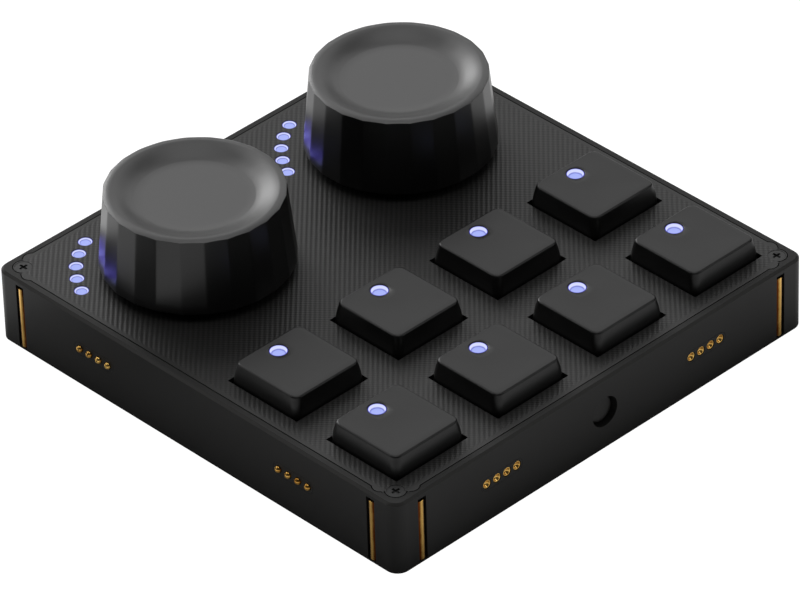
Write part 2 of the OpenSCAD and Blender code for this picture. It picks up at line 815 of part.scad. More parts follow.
module encoder_pusher_left() encoder_pusher(-1);
module encoder_pusher_right() encoder_pusher(1);

// square body on the board with a round bush that comes up through the plate
module encoder_body(side) color([0.55, 0.55, 0.57]) {
    translate([side * knob_x, knob_y, board_top]) difference() {
        union() {
            linear_extrude(encoder_h) round_square(encoder_w, encoder_w, 0.6);
            cylinder(r = bush_r, h = bush_top_z - board_top);
        }
        translate([0, 0, encoder_floor])
            cylinder(r = pusher_r + 0.6, h = push_travel + pusher_h + stop_gap);
        translate([0, 0, encoder_floor]) cylinder(r = shaft_d / 2 + slip, h = case_h);
    }
}

module encoder_body_left() encoder_body(-1);
module encoder_body_right() encoder_body(1);

case_body();
top_plate();
screws();
rubber_feet();
circuit_board();
board_chips();
usb_socket();
encoder_body_left();
encoder_body_right();
light_guide_left();
light_guide_right();
button_switch();
pin_blocks();
contact_blocks();
contact_cups();
magnet_rods();
switch_housings();
side_pins_front();
side_pins_rear();
rear_pins_left();
rear_pins_right();
keycap_1();
keycap_2();
keycap_3();
keycap_4();
keycap_5();
keycap_6();
keycap_7();
keycap_8();
key_window_1();
key_window_2();
key_window_3();
key_window_4();
key_window_5();
key_window_6();
key_window_7();
key_window_8();
key_plunger_1();
key_plunger_2();
key_plunger_3();
key_plunger_4();
key_plunger_5();
key_plunger_6();
key_plunger_7();
key_plunger_8();
key_spring_1();
key_spring_2();
key_spring_3();
key_spring_4();
key_spring_5();
key_spring_6();
key_spring_7();
key_spring_8();
knob_left();
knob_right();
encoder_shaft_left();
encoder_shaft_right();
encoder_pusher_left();
encoder_pusher_right();
front_button();
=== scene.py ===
import json
import math

import bmesh
import bpy
import numpy as np
from mathutils import Matrix, Vector


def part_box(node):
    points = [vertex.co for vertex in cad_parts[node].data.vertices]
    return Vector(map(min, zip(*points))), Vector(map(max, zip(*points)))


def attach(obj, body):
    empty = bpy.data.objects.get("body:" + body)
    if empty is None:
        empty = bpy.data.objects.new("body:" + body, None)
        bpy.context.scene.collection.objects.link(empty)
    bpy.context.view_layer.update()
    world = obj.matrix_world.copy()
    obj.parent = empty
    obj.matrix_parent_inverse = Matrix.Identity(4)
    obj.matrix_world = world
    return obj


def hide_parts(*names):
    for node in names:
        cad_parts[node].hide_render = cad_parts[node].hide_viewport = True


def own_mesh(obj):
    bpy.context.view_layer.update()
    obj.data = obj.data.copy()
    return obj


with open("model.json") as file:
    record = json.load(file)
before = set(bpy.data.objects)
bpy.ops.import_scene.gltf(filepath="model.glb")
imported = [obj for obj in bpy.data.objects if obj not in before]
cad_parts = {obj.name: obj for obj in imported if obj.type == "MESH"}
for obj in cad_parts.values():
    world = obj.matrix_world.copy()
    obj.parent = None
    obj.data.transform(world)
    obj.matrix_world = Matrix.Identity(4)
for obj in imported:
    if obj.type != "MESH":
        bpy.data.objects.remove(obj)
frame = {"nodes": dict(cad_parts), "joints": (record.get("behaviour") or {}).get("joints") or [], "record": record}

# Looks for the desk keypad. Everything is in metres in the part's own frame; the
# dictionaries hold millimetres and degrees, unless a note says otherwise.
mm = 0.001
white = (1, 1, 1, 1)
nodes = frame["nodes"]
bodyOf = {n: body for body, names in frame["record"]["behaviour"]["bodies"].items() for n in names}
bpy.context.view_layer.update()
print("stage: frame loaded,", len(nodes), "nodes")


# a new object in the scene
def newObject(name, data):
    made = bpy.data.objects.new(name, data)
    bpy.context.scene.collection.objects.link(made)
    return made


cameraView = {
    "azimuth": -43.376, "elevation": 36.018, "roll": -1.819, "lens": 330.78, "sensor": 36,
    "distance": 1369.4, "right": -0.317, "up": 5.316, "lift": 0.8,
    "clip": (0.05, 20),  # metres
}


# Back vector from azimuth and elevation, right = z x back, up = back x right,
# both turned by the roll; the place is the sum of the three, each times its length.
def makeCamera(view):
    a, e, r = (math.radians(view[k]) for k in ("azimuth", "elevation", "roll"))
    back = Vector((math.sin(a) * math.cos(e), -math.cos(a) * math.cos(e), math.sin(e)))
    side = Vector((0, 0, 1)).cross(back).normalized()
    above = back.cross(side)
    right = math.cos(r) * side + math.sin(r) * above
    up = math.cos(r) * above - math.sin(r) * side
    place = right * view["right"] + up * view["up"] + back * view["distance"]
    data = bpy.data.cameras.new("photoCamera")
    data.lens, data.sensor_width = view["lens"], view["sensor"]
    data.clip_start, data.clip_end = view["clip"]
    camera = newObject("photoCamera", data)
    turn = Matrix((right, up, back)).transposed().to_4x4()
    camera.matrix_world = Matrix.Translation((place + Vector((0, 0, view["lift"]))) * mm) @ turn
    bpy.context.scene.camera = camera


makeCamera(cameraView)
print("stage: camera")


class Wire:
    # one output socket; arithmetic on it adds Math nodes
    def __init__(self, tree, socket):
        self.tree, self.socket = tree, socket

    def math(self, operation, *others, first=None):
        node = self.tree.nodes.new("ShaderNodeMath")
        node.operation = operation
        values = [self, *others] if first is None else [first, self]
        for slot, value in zip(node.inputs, values):
            if isinstance(value, Wire):
                self.tree.links.new(value.socket, slot)
            else:
                slot.default_value = value
        return Wire(self.tree, node.outputs[0])

    def __add__(self, other):
        return self.math("ADD", other)

    def __sub__(self, other):
        return self.math("SUBTRACT", other)

    def __mul__(self, other):
        return self.math("MULTIPLY", other)

    def __truediv__(self, other):
        return self.math("DIVIDE", other)

    def __pow__(self, other):
        return self.math("POWER", other)

    def __rsub__(self, other):
        return self.math("SUBTRACT", first=other)

    __radd__ = __add__
    __rmul__ = __mul__

    def sin(self):
        return self.math("SINE")

    def abs(self):
        return self.math("ABSOLUTE")

    def largest(self, *others):
        return self if not others else self.math("MAXIMUM", others[0]).largest(*others[1:])

    def smallest(self, other):
        return self.math("MINIMUM", other)

    # 0 below low, 1 above high, a straight rise between them
    def between(self, low, high):
        return ((self - low) / (high - low)).largest(0.0).smallest(1.0)


class Graph:
    # builds the nodes of one tree
    def __init__(self, tree):
        self.tree = tree

    def feed(self, slot, value):
        if isinstance(value, Wire):
            self.tree.links.new(value.socket, slot)
        else:
            slot.default_value = value

    def node(self, kind, settings=(), inputs=(), output=0):
        made = self.tree.nodes.new(kind)
        for name, value in dict(settings).items():
            if name == "stops":
                ramp = made.color_ramp
                while len(ramp.elements) < len(value):
                    ramp.elements.new(0.5)
                for element, (place, color) in zip(ramp.elements, value):
                    element.position, element.color = place, color
            else:
                setattr(made, name, value)
        for name, value in dict(inputs).items():
            self.feed(made.inputs[name], value)
        return Wire(self.tree, made.outputs[output])

    # 1 for what the camera sees directly, 0 for light and reflections
    def seen(self):
        return self.node("ShaderNodeLightPath", output="Is Camera Ray")

    def mixShaders(self, factor, first, second):
        return self.node("ShaderNodeMixShader", {}, {0: factor, 1: first, 2: second})

    # links a shader to the tree's output node
    def show(self, kind, shader):
        self.feed(next(n for n in self.tree.nodes if n.type == kind).inputs[0], shader)


class Finish(Graph):
    # a Principled material and the nodes that feed it
    def __init__(self, name, **constants):
        self.material = bpy.data.materials.new(name)
        self.material.use_nodes = True
        super().__init__(self.material.node_tree)
        self.shader = self.tree.nodes["Principled BSDF"]
        self.coords = None
        self.set(constants)

    def set(self, values):
        for name, value in values.items():
            self.feed(self.shader.inputs[name], value)

    # object coordinates as a vector
    def place(self):
        if self.coords is None:
            self.coords = self.node("ShaderNodeTexCoord", output="Object")
        return self.coords

    # one object coordinate in millimetres
    def axis(self, letter):
        return self.node("ShaderNodeSeparateXYZ", {}, {0: self.place()}, output=letter) * (1 / mm)

    # the share that a mesh keeps in its UV map
    def uvShare(self):
        return self.node("ShaderNodeSeparateXYZ", {}, {0: self.node("ShaderNodeUVMap")}, output="X")

    def noise(self, perMm, detail=2.0, rough=0.5):
        return self.node("ShaderNodeTexNoise", {}, {
            "Vector": self.place(), "Scale": perMm / mm, "Detail": detail, "Roughness": rough})

    def mix(self, factor, first, second):
        return self.node("ShaderNodeMix", {"data_type": "RGBA"}, {
            0: factor, 6: first, 7: second}, output=2)

    def bump(self, height, distance):
        self.set({"Normal": self.node("ShaderNodeBump", {}, {
            "Height": height, "Distance": distance * mm, "Strength": 1.0})})


def gray(value, tint=(1.0, 1.0, 1.0)):
    return (value * tint[0], value * tint[1], value * tint[2], 1.0)


plasticSurface = {
    "smudge": 0.06, "grainShare": 0.6, "contrast": (0.3, 0.7),
    "smudgeRough": 0.12, "grainRough": 0.06,
}


# Painted light on the case's top edge, a paler band over its chamfer: 1 beyond "out" from the middle of the sides,
# measured round the corners from their middles at "corner", and above "above".
def paintedRimLight(f, values):
    x, y = ((f.axis(letter).abs() - values["corner"]).largest(0.0) for letter in "XY")
    reach = (x * x + y * y) ** 0.5 + values["corner"]
    out, above, fade = values["out"], values["above"], values["fade"]
    return reach.between(out, out + fade) * f.axis("Z").between(above, above + fade)


# fine moulded surface: grain in the bump, grain and wide smudges in colour and gloss
def mouldedPlastic(name, values):
    s = plasticSurface
    f = Finish(name, **{"Specular IOR Level": values["shine"], "IOR": 1.5})
    grain = f.noise(values["grain"], 3.0, 0.6)
    smudge = f.noise(s["smudge"])
    tint = values.get("tint", (1.0, 1.0, 1.0))
    patches = grain * s["grainShare"] + smudge * (1 - s["grainShare"])
    color = f.mix(patches.between(*s["contrast"]),
                  gray(values["dark"], tint), gray(values["light"], tint))
    # painted light: the case's top edge is made paler where its chamfer would catch light
    if "rimSheen" in values:
        rimSheen = values["rimSheen"]
        color = f.mix(paintedRimLight(f, rimSheen), color, gray(rimSheen["tone"], tint))
    rough = values["rough"] + (smudge - 0.5) * s["smudgeRough"] + (grain - 0.5) * s["grainRough"]
    f.set({"Base Color": color, "Roughness": rough})
    f.bump(grain, values["depth"])
    return f


plasticValues = {
    "case": {"dark": 0.011, "light": 0.015, "rough": 0.5, "shine": 0.3, "grain": 5.0,
             "depth": 0.004, "tint": (1.0, 0.98, 0.93),
             # painted light on the case's top edge, a paler band over the chamfer
             "rimSheen": {"out": 52.45, "corner": 50.4, "above": 15.7, "fade": 0.15, "tone": 0.032}},
    "key": {"dark": 0.004, "light": 0.006, "rough": 0.35, "shine": 0.5, "grain": 6.0,
            "depth": 0.002, "tint": (1.0, 0.98, 0.95)},
    "button": {"dark": 0.014, "light": 0.02, "rough": 0.4, "shine": 0.4, "grain": 6.0,
               "depth": 0.003, "tint": (1.0, 0.98, 0.93)},
    "block": {"dark": 0.010, "light": 0.014, "rough": 0.45, "shine": 0.3, "grain": 6.0,
              "depth": 0.003},
    "screw": {"dark": 0.022, "light": 0.03, "rough": 0.42, "shine": 0.5, "grain": 4.0,
              "depth": 0.003},
    "plunger": {"dark": 0.30, "light": 0.36, "rough": 0.35, "shine": 0.5, "grain": 4.0,
                "depth": 0.002, "tint": (1.0, 0.42, 0.15)},
    "chip": {"dark": 0.02, "light": 0.03, "rough": 0.55, "shine": 0.4, "grain": 8.0,
             "depth": 0.004},
    "rubber": {"dark": 0.018, "light": 0.03, "rough": 0.8, "shine": 0.25, "grain": 3.0,
               "depth": 0.012},
}
finishes = {name: mouldedPlastic(name + "Plastic", v) for name, v in plasticValues.items()}

metalSurface = {
    "tarnish": 0.5, "contrast": (0.35, 0.75), "streakRough": 0.16, "tarnishRough": 0.1,
    "slotNoise": 0.8, "slotSpread": 0.3,
}


# Painted shade on the rods: 0 along the middle, 1 where they meet the slot, by the distance along the face
# from the rod's axis, min(| |x| - place |, | |y| - place |), with noise on it.
def rodSlotShade(f, values):
    x, y = ((f.axis(letter).abs() - values["place"]).abs() for letter in "XY")
    uneven = (f.noise(metalSurface["slotNoise"]) - 0.5) * metalSurface["slotSpread"]
    return (x.smallest(y) + uneven).between(*values["shadeReach"])


# plated or drawn metal: fine streaks along one axis, and tarnish in patches; on the
# rods painted shade instead, darker towards the slot
def platedMetal(name, values):
    s = metalSurface
    f = Finish(name, Metallic=1.0)
    stretch = f.node("ShaderNodeMapping", {}, {"Vector": f.place(), "Scale": values["streak"]})
    streak = f.node("ShaderNodeTexNoise", {}, {"Vector": stretch, "Scale": 1 / mm, "Detail": 2.0})
    tarnish = f.noise(s["tarnish"])
    # the rods' share is painted shade towards the slot; the other metals' share is tarnish in patches
    share = rodSlotShade(f, values) if "shadeReach" in values else tarnish.between(*s["contrast"])
    rough = (values["rough"] + (streak - 0.5) * s["streakRough"]
             + (tarnish - 0.5) * s["tarnishRough"])
    f.set({"Base Color": f.mix(share, values["bright"], values["tarnishAndShade"]), "Roughness": rough})
    f.bump(streak, values["depth"])
    return f


metalValues = {
    "gold": {"bright": (0.95, 0.60, 0.17, 1), "tarnishAndShade": (0.50, 0.22, 0.03, 1), "rough": 0.14,
             "streak": (4.0, 4.0, 0.3), "depth": 0.001},
    "steel": {"bright": (0.62, 0.62, 0.63, 1), "tarnishAndShade": (0.45, 0.45, 0.46, 1), "rough": 0.3,
              "streak": (0.4, 4.0, 4.0), "depth": 0.001},
    # rod: its darker colour is painted shade where the rods sink into the slot
    "rod": {"bright": (1.0, 0.62, 0.17, 1), "tarnishAndShade": (0.13, 0.03, 0.003, 1), "rough": 0.2,
            "streak": (4.0, 4.0, 0.3), "depth": 0.001, "place": 46.45, "shadeReach": (0.02, 0.55)},
}
finishes.update({name: platedMetal(name + "Metal", v) for name, v in metalValues.items()})

plateWeave = {
    "across": 0.56, "along": 0.92, "acrossShare": 0.4, "fineShare": 0.15, "border": (50.15, 50.45),
    "dark": 0.001, "light": 0.034, "tint": (1.0, 0.98, 0.95), "rough": 0.42, "gloss": 0.2,
    "shine": 0.5, "depth": 0.06,
}


# Weave on the plate, laid diagonally: with u = x + y and w = y - x, both over the root
# of 2, acrossShare of sin(2 pi u / across) and the rest of sin(2 pi w / along), as height
# and as a change of colour and gloss. It stops at a plain band along the plate's edges.
def wovenGrain(values):
    f = Finish("plateGrain", **{"Specular IOR Level": values["shine"]})
    turn = math.pi * math.sqrt(2)
    x, y = f.axis("X"), f.axis("Y")
    inside = 1.0 - x.abs().largest(y.abs()).between(*values["border"])
    bars = ((x + y) * (turn / values["across"])).sin() * values["acrossShare"]
    ribs = ((y - x) * (turn / values["along"])).sin() * (1 - values["acrossShare"])
    weave = (bars + ribs) * inside
    fine = f.noise(4.0, 3.0)
    share = (weave * 0.5 + 0.5) * (1 - values["fineShare"]) + fine * values["fineShare"]
    f.set({"Base Color": f.mix(share, gray(values["dark"], values["tint"]),
                               gray(values["light"], values["tint"])),
           "Roughness": values["rough"] + (0.5 - share) * values["gloss"]})
    f.bump(share, values["depth"])
    return f


finishes["weave"] = wovenGrain(plateWeave)

knobFinish = {
    "side": 0.3, "top": 0.35, "dark": 0.006, "light": 0.10, "shine": 0.6, "depth": 0.002,
    "smudge": 0.08, "smudgeRough": 0.08, "fineRough": 0.04,
}


# Knob: gloss on the flats, satin on the lip and in the dish, by the share of satin in
# the UV map; "side" and "top" are their roughnesses.
def knobSkin(values):
    f = Finish("knobSkin", **{"Specular IOR Level": values["shine"]})
    share = f.uvShare()
    fine = f.noise(5.0, 3.0)
    smudge = f.noise(values["smudge"])
    uneven = (smudge - 0.5) * values["smudgeRough"] + (fine - 0.5) * values["fineRough"]
    f.set({"Base Color": f.mix(share, gray(values["dark"]), gray(values["light"])),
           "Roughness": share * (values["top"] - values["side"]) + values["side"] + uneven})
    f.bump(fine, values["depth"])
    return f


finishes["knob"] = knobSkin(knobFinish)

lensGlow = {
    # "line" is painted shade: a darker ring in the crease between the cup's floor and wall
    "floor": (0.34, 0.40, 0.86, 1), "line": (0.09, 0.10, 0.50, 1), "wall": (0.66, 0.70, 0.98, 1),
    "ring": (0.16, 0.15, 0.72, 1), "rim": (0.03, 0.03, 0.30, 1), "strength": 1.0,
    "dark": (0.05, 0.055, 0.10, 1), "pale": (0.07, 0.075, 0.12, 1), "rough": 0.25, "shine": 0.3,
    "cloud": 0.04, "depth": 0.01,
}


# Lit lens: lavender floor, a darker line of painted shade in the crease round it, paler wall and blue-violet rim,
# by the share in the UV map that grows from the middle of the cup outwards.
def litLens(values):
    f = Finish("litLens", **{"Roughness": values["rough"], "Specular IOR Level": values["shine"],
                             "Emission Strength": values["strength"]})
    share = f.uvShare()
    cloud = f.noise(1.5)
    # the "line" stop paints shade into the crease between the cup's floor and wall
    stops = [(place, values[part]) for place, part in (
        (0.0, "floor"), (0.48, "floor"), (0.58, "line"), (0.68, "wall"),
        (0.84, "wall"), (0.93, "ring"), (1.0, "rim"))]
    glow = f.node("ShaderNodeValToRGB", {"stops": stops},
                  {0: share + (cloud - 0.5) * values["cloud"]})
    f.set({"Base Color": f.mix(cloud, values["dark"], values["pale"]), "Emission Color": glow})
    f.bump(cloud, values["depth"])
    return f


finishes["lens"] = litLens(lensGlow)

boardLook = {
    "mask": (0.010, 0.065, 0.035, 1), "track": (0.020, 0.11, 0.060, 1), "turns": (3.1, 2.3),
    "uneven": 0.8, "lane": (0.55, 0.62), "rough": 0.3, "coat": 0.4, "coatRough": 0.1, "depth": 0.02,
}


# Solder mask with the faint raised lines of tracks under it, where a sine in X times a
# sine in Y, plus noise, passes through a narrow band.
def solderMask(values):
    f = Finish("solderMask", **{"Coat Roughness": values["coatRough"]})
    line = (f.axis("X") * values["turns"][0]).sin() * (f.axis("Y") * values["turns"][1]).sin()
    lane = (line + f.noise(0.3, 1.0) * values["uneven"]).between(*values["lane"])
    f.set({"Base Color": f.mix(lane, values["mask"], values["track"]),
           "Roughness": values["rough"] + f.noise(0.5) * 0.1, "Coat Weight": values["coat"]})
    f.bump(lane, values["depth"])
    return f


finishes["board"] = solderMask(boardLook)
print("stage: finishes")

weld = {"grid": 2e-7, "sliver": 1e-8, "copy": 1e-6}  # metres


def addPiece(name, mesh, finish, body, replaced):
    piece = newObject(name, mesh)
    mesh.materials.clear()
    mesh.materials.append(finishes[finish].material)
    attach(piece, body)
    if replaced:
        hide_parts(*replaced)
    return piece


# Faces of a grid of rows x columns of points: each cell one quad. The last column
# joins the first, and the last row joins the first where the rows are wrapped.
def gridFaces(rows, columns, wrapRows, start):
    i, j = np.meshgrid(np.arange(rows if wrapRows else rows - 1), np.arange(columns), indexing="ij")
    i2, j2 = (i + 1) % rows, (j + 1) % columns
    return np.stack([i * columns + j, i * columns + j2, i2 * columns + j2, i2 * columns + j],
                    -1).reshape(-1, 4) + start


# One mesh from several closed grids, each (points, wrapRows); a grid that is not
# wrapped in rows ends in two rows shrunk to points, which are merged into poles.
def meshFromGrids(name, grids, sharp=35.0, shares=None):
    points, faces, start = [], [], 0
    for grid, wrapRows in grids:
        rows, columns = grid.shape[:2]
        points.append(grid.reshape(-1, 3))
        faces.append(gridFaces(rows, columns, wrapRows, start))
        start += rows * columns
    points, faces = np.concatenate(points), np.concatenate(faces)
    mesh = bpy.data.meshes.new(name)
    mesh.vertices.add(len(points))
    mesh.vertices.foreach_set("co", (points * mm).astype(np.float32).ravel())
    mesh.loops.add(faces.size)
    mesh.loops.foreach_set("vertex_index", faces.astype(np.int32).ravel())
    mesh.polygons.add(len(faces))
    mesh.polygons.foreach_set("loop_start", np.arange(0, faces.size, 4, dtype=np.int32))
    mesh.update(calc_edges=True)
    if shares is not None:
        layer = mesh.uv_layers.new(name="UVMap")
        corners = np.repeat(shares[faces.ravel()], 2)
        layer.data.foreach_set("uv", corners.astype(np.float32))
    work = bmesh.new()
    work.from_mesh(mesh)
    bmesh.ops.remove_doubles(work, verts=work.verts, dist=weld["grid"])
    bmesh.ops.dissolve_degenerate(work, edges=work.edges, dist=weld["sliver"])
    bmesh.ops.recalc_face_normals(work, faces=work.faces)
    work.to_mesh(mesh)
    work.free()
    mesh.shade_smooth()
    mesh.set_sharp_from_angle(angle=math.radians(sharp))
    return mesh


# A profile of (radius, height) points turned round a vertical axis.
def lathe(profile, centre, count):
    profile = np.asarray(profile, float)
    angle = np.linspace(0, 2 * np.pi, count, endpoint=False)
    return np.stack([centre[0] + profile[:, :1] * np.cos(angle),
                     centre[1] + profile[:, :1] * np.sin(angle),
                     centre[2] + profile[:, 1:] * np.ones(count)], -1)


# Points of an arc in a profile, from one angle to another in degrees.
def arc(centreX, centreZ, radius, start, end, count):
    a = np.radians(np.linspace(start, end, count))
    return np.stack([centreX + radius * np.cos(a), centreZ + radius * np.sin(a)], -1)


# Square with round corners: a quarter arc at each corner, joined by straight runs.
def squareLoop(halfSide, radius, perArc, perSide):
    quarter = np.radians(np.linspace(0, 90, perArc))
    corner = halfSide - radius
    arcs = []
    for k in range(4):
        a = quarter + k * np.pi / 2
        middle = corner * np.sqrt(2) * np.array([np.cos(np.pi / 4 + k * np.pi / 2),
                                                 np.sin(np.pi / 4 + k * np.pi / 2)])
        arcs.append(middle + radius * np.stack([np.cos(a), np.sin(a)], -1))
    share = np.linspace(0, 1, perSide + 2)[1:-1, None]
    parts = []
    for k in range(4):
        parts += [arcs[k], arcs[k][-1] * (1 - share) + arcs[(k + 1) % 4][0] * share]
    return np.concatenate(parts)


# A CAD node's box in millimetres: its middle in X and Y, its foot and its top.
def boxOf(name):
    low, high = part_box(name)
    return ((low.x + high.x) / 2 / mm, (low.y + high.y) / 2 / mm), low.z / mm, high.z / mm


# Rounded copies of the moulded CAD pieces: width of the rounding, finish and slot.
roundings = {
    "case_body": (0.2, "case", "case_plastic"), "top_plate": (0.28, "weave", "plate_grain"),
    "front_button": (0.25, "button", "button_plastic"), "screws": (0.08, "screw", "black_steel"),
    "magnet_rods": (0.15, "rod", "gold"), "usb_socket": (0.06, "steel", "plated_steel"),
    "pin_blocks": (0.05, "block", "housing_black"),
    "contact_blocks": (0.05, "block", "housing_black"),
    "rubber_feet": (0.2, "rubber", "foot_rubber"),
}
roundingAngles = {"flat": 0.4, "edge": 35}


# A merged copy of a node's mesh with its flat faces joined, its edges rounded by
# the given width and its shading weighted by face area.
def roundedCopy(name, width, finish):
    mesh = nodes[name].data.copy()
    work = bmesh.new()
    work.from_mesh(mesh)
    bmesh.ops.remove_doubles(work, verts=work.verts, dist=weld["copy"])
    bmesh.ops.dissolve_limit(work, angle_limit=math.radians(roundingAngles["flat"]),
                             verts=work.verts, edges=work.edges)
    work.to_mesh(mesh)
    work.free()
    mesh.shade_smooth()
    piece = addPiece(name + "_rounded", mesh, finish, bodyOf[name], [name])
    bevel = piece.modifiers.new("edges", "BEVEL")
    bevel.width, bevel.segments, bevel.limit_method = width * mm, 2, "ANGLE"
    bevel.angle_limit = math.radians(roundingAngles["edge"])
    bevel.use_clamp_overlap = True
    piece.modifiers.new("shading", "WEIGHTED_NORMAL").keep_sharp = True


for name, (width, finish, slot) in roundings.items():
    roundedCopy(name, width, finish)
print("stage: rounded copies")

keycapShape = {
    "topHalf": 8.15, "footHalf": 8.75, "corner": 1.55, "edge": 0.45, "wall": 1.1, "roof": 1.3,
    "insideCorner": 0.8, "footEdge": 0.12, "footRound": 0.15, "bulge": 0.12, "dish": 0.10,
    "dishFade": 3, "windowRadius": 1.75, "perArc": 9, "perSide": 8,
    "bossRadius": 2.9, "bossHeight": 2.3, "bossBore": 2.0,
}


# Rings of rounded squares follow the outside down, turn under the foot and climb the
# inside to the roof; the rows between the top's edge and the window's round hole run
# from squares to circles, sunk by dish (1 - reach^2), which fades out at the hole.
def keycapRings(shape, centre, low, high, windowY):
    s = shape

    def ring(half, radius, z):
        loop = squareLoop(half, radius, s["perArc"], s["perSide"])
        return np.concatenate([loop, np.full((len(loop), 1), z)], -1)

    rings = []
    for a in np.radians(np.linspace(90, 5, 7)):
        back = s["edge"] * (1 - np.cos(a))
        rings.append(ring(s["topHalf"] - back, s["corner"] - back * 0.5,
                          high - s["edge"] * (1 - np.sin(a))))
    flare = s["footHalf"] - s["topHalf"]
    fall = high - low - s["edge"] - s["footRound"]
    for t in np.linspace(0.08, 1, 9):
        half = s["topHalf"] + flare * t + s["bulge"] * 4 * t * (1 - t)
        rings.append(ring(half, s["corner"] + 0.05, high - s["edge"] - fall * t))
    rings.append(ring(s["footHalf"] - s["footEdge"], s["corner"], low))
    inner, roofZ = s["footHalf"] - s["wall"], high - s["roof"]
    rings += [ring(inner, s["insideCorner"], low), ring(inner, s["insideCorner"], low + 0.05),
              ring(s["topHalf"] - s["wall"] + 0.05, s["insideCorner"], roofZ)]
    angle = np.arctan2(rings[0][:, 1], rings[0][:, 0])

    def holeRing(share, z):
        r = s["windowRadius"] * share
        return np.stack([r * np.cos(angle), windowY + r * np.sin(angle),
                         np.full(len(angle), z)], -1)

    lip = [holeRing(1.0, high - 0.12), holeRing(1.03, high - 0.04), holeRing(1.07, high)]
    top = np.array([lip[-1] * (1 - t) + rings[0] * t for t in (0.12, 0.3, 0.5, 0.7, 0.88)])
    reach = np.abs(top[:, :, :2]).max(-1) / s["topHalf"]
    fromHole = np.hypot(top[:, :, 0], top[:, :, 1] - windowY) - s["windowRadius"]
    top[:, :, 2] -= (s["dish"] * np.clip(1 - reach ** 2, 0, 1)
                     * np.clip(fromHole / s["dishFade"], 0, 1))
    rows = np.concatenate([lip, top, rings, [holeRing(1.0, roofZ)]])
    return rows + np.array([centre[0], centre[1], 0])


def makeKeycap(n):
    s = keycapShape
    centre, low, high = boxOf(f"keycap_{n}")
    windowY = boxOf(f"key_window_{n}")[0][1] - centre[1]
    rows = keycapRings(s, centre, low, high, windowY)
    roof = high - s["roof"]
    foot = roof - s["bossHeight"]
    boss = lathe([(0, roof + 0.2), (s["bossRadius"], roof + 0.2), (s["bossRadius"], foot + 0.15),
                  (s["bossRadius"] - 0.15, foot), (s["bossBore"] + 0.1, foot),
                  (s["bossBore"], foot + 0.1), (s["bossBore"], roof), (0, roof)], (*centre, 0), 32)
    mesh = meshFromGrids(f"keycap_{n}_skin", [(rows, True), (boss, False)], sharp=50)
    addPiece(f"keycap_{n}_skin", mesh, "key", f"key_{n}", [f"keycap_{n}"])


windowShape = {"radius": 1.70, "floor": 1.35, "lip": 1.55, "cup": 0.75, "flange": 2.0}
lightShape = {"radius": 1.38, "floor": 1.05, "lip": 1.25, "cup": 0.3, "flange": 1.0}
lensMake = {"step": 0.5, "around": 40}


# Lens: a plug with a cup in its top and a flange or leg below, as rows of (radius,
# height, share). The share grows from the cup's middle over its wall to the rim and
# is kept in the UV map.
def lensPiece(name, centres, top, foot, shape, body, replaced):
    floorZ, stepZ, r = top - shape["cup"], foot + lensMake["step"], shape["radius"]
    floor, lip, flange, around = shape["floor"], shape["lip"], shape["flange"], lensMake["around"]
    profile = np.array([
        (0, floorZ, 0), (floor * 0.6, floorZ, 0.4), (floor * 0.95, floorZ, 0.54),
        (floor, floorZ + 0.04, 0.6), (lip, top - 0.05, 0.85), (lip + 0.04, top, 0.92),
        (r - 0.06, top, 0.97), (r, top - 0.06, 1), (r, stepZ, 1), (flange, stepZ, 1),
        (flange, foot, 1), (0, foot, 1)])
    grids = [(lathe(profile[:, :2], (*centre, 0), around), False) for centre in centres]
    shares = np.tile(np.repeat(profile[:, 2], around), len(centres))
    mesh = meshFromGrids(name, grids, shares=shares)
    addPiece(name, mesh, "lens", body, replaced)


for n in range(1, 9):
    makeKeycap(n)
    middle, foot, top = boxOf(f"key_window_{n}")
    lensPiece(f"key_window_{n}_lens", [middle], top, foot, windowShape, f"key_{n}",
              [f"key_window_{n}"])
print("stage: keycaps")

# lights beside each knob, round the knob's axis; "bar" is the section of the bar that
# joins them: inner and outer radius, underside and top
lightArc = {
    "radius": 22.7, "first": 115.0, "step": 10.0, "count": 5, "knobX": 26.3, "knobY": 26.4,
    "bar": (21.6, 23.8, 13.62, 14.75), "barSteps": 25,
}


# Five lenses on an arc, and the bar that joins them: a rectangle carried along the arc.
def makeLightGuide(side, sign):
    v, node = lightArc, f"light_guide_{side}"
    axis = np.array([sign * v["knobX"], v["knobY"]])
    turns = np.radians(v["first"] + v["step"] * np.arange(v["count"]))
    centres = [tuple(axis + v["radius"] * np.array([np.cos(a), np.sin(a)])) for a in turns]
    _, foot, top = boxOf(node)
    lensPiece(node + "_lenses", centres, top, foot, lightShape, bodyOf[node], [node])
    sweep = np.linspace(turns[0], turns[-1], v["barSteps"])[:, None]
    inner, outer, under, over = v["bar"]
    section = np.array([(inner, under), (outer, under), (outer, over), (inner, over)])
    rows = np.stack([axis[0] + section[:, 0] * np.cos(sweep),
                     axis[1] + section[:, 0] * np.sin(sweep),
                     np.broadcast_to(section[:, 1], (v["barSteps"], 4))], -1)
    first, last = (row.mean(0)[None].repeat(4, 0)[None] for row in (rows[0], rows[-1]))
    rows = np.concatenate([first, rows, last])
    mesh = meshFromGrids(node + "_bar", [(rows, False)], shares=np.full(rows.shape[0] * 4, 1.0))
    addPiece(node + "_bar", mesh, "lens", bodyOf[node], ())


for side, sign in (("left", -1), ("right", 1)):
    makeLightGuide(side, sign)
print("stage: light arcs")

